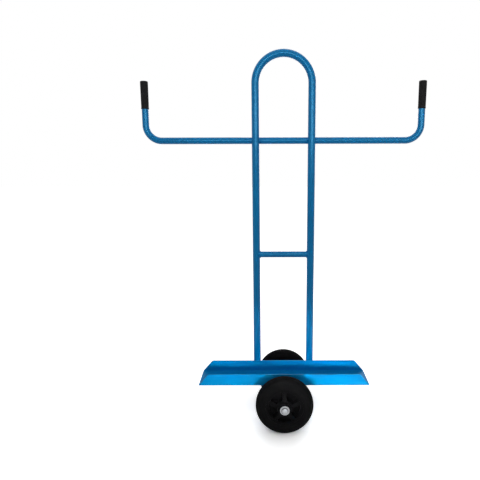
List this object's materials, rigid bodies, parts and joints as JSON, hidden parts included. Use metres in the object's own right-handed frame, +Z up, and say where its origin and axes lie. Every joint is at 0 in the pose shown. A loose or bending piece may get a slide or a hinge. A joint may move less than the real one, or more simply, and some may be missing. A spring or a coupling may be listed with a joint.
{
  "type": "sheet goods cart",
  "caption": "Two-wheeled hand cart for boards on edge: long folded tray between the wheels, tall tube hoop, wide handle bar with upturned grips and a folding parking stand.",
  "frame": {"origin": "on the floor, under the middle of the tray and the axle", "axes": "+X along the tray, -Y towards the front wheel and the tray's front lip, +Z up"},
  "size_m": [1.2746, 0.4158, 1.644],
  "materials": {
    "blue_paint": "glossy sky-blue powder coat",
    "zinc": "bright zinc plate",
    "bright_steel": "drawn bright steel",
    "tyre_rubber": "matt black solid rubber",
    "grip_rubber": "matt black moulded rubber",
    "black_plastic": "black moulded plastic",
    "cage_plastic": "natural moulded plastic"
  },
  "bodies": {
    "frame": {"tray": "blue_paint", "hoop_frame": "blue_paint", "left_leg_plug": "black_plastic", "right_leg_plug": "black_plastic", "cross_tube": "blue_paint", "handle_bar": "blue_paint", "left_grip": "grip_rubber", "right_grip": "grip_rubber", "front_axle_plate": "blue_paint", "rear_axle_plate": "blue_paint", "axle_tube": "blue_paint", "axle": "bright_steel", "left_stand_lug": "blue_paint", "right_stand_lug": "blue_paint", "front_inner_washer": "black_plastic", "front_outer_washer": "black_plastic", "front_axle_cap": "zinc", "rear_inner_washer": "black_plastic", "rear_outer_washer": "black_plastic", "rear_axle_cap": "zinc"},
    "stand": {"parking_stand": "blue_paint", "left_stand_foot": "grip_rubber", "right_stand_foot": "grip_rubber"},
    "front_wheel": {"front_tyre": "tyre_rubber", "front_rim": "black_plastic", "front_hub_sleeve": "bright_steel"},
    "rear_wheel": {"rear_tyre": "tyre_rubber", "rear_rim": "black_plastic", "rear_hub_sleeve": "bright_steel"},
    "front_bearing": {"front_roller_cage": "cage_plastic", "front_roller_1": "bright_steel", "front_roller_2": "bright_steel", "front_roller_3": "bright_steel", "front_roller_4": "bright_steel", "front_roller_5": "bright_steel", "front_roller_6": "bright_steel", "front_roller_7": "bright_steel", "front_roller_8": "bright_steel"},
    "rear_bearing": {"rear_roller_cage": "cage_plastic", "rear_roller_1": "bright_steel", "rear_roller_2": "bright_steel", "rear_roller_3": "bright_steel", "rear_roller_4": "bright_steel", "rear_roller_5": "bright_steel", "rear_roller_6": "bright_steel", "rear_roller_7": "bright_steel", "rear_roller_8": "bright_steel"}
  },
  "joints": [
    {"name": "front_wheel_spin", "type": "hinge", "parent": "frame", "child": "front_wheel", "pos_m": [0, -0.147, 0.125], "axis": [0, 1, 0], "continuous": true},
    {"name": "rear_wheel_spin", "type": "hinge", "parent": "frame", "child": "rear_wheel", "pos_m": [0, 0.147, 0.125], "axis": [0, 1, 0], "continuous": true},
    {"name": "front_bearing_spin", "type": "hinge", "parent": "frame", "child": "front_bearing", "pos_m": [0, -0.147, 0.125], "axis": [0, 1, 0], "continuous": true},
    {"name": "rear_bearing_spin", "type": "hinge", "parent": "frame", "child": "rear_bearing", "pos_m": [0, 0.147, 0.125], "axis": [0, 1, 0], "continuous": true},
    {"name": "stand_fold", "type": "hinge", "parent": "frame", "child": "stand", "pos_m": [0, 0.03, 0.152], "axis": [-1, 0, 0], "range_deg": [0, 60]}
  ],
  "couplings": [
    {"joint": "front_bearing_spin", "follows": "front_wheel_spin", "ratio": 0.6},
    {"joint": "rear_bearing_spin", "follows": "rear_wheel_spin", "ratio": 0.6}
  ]
}
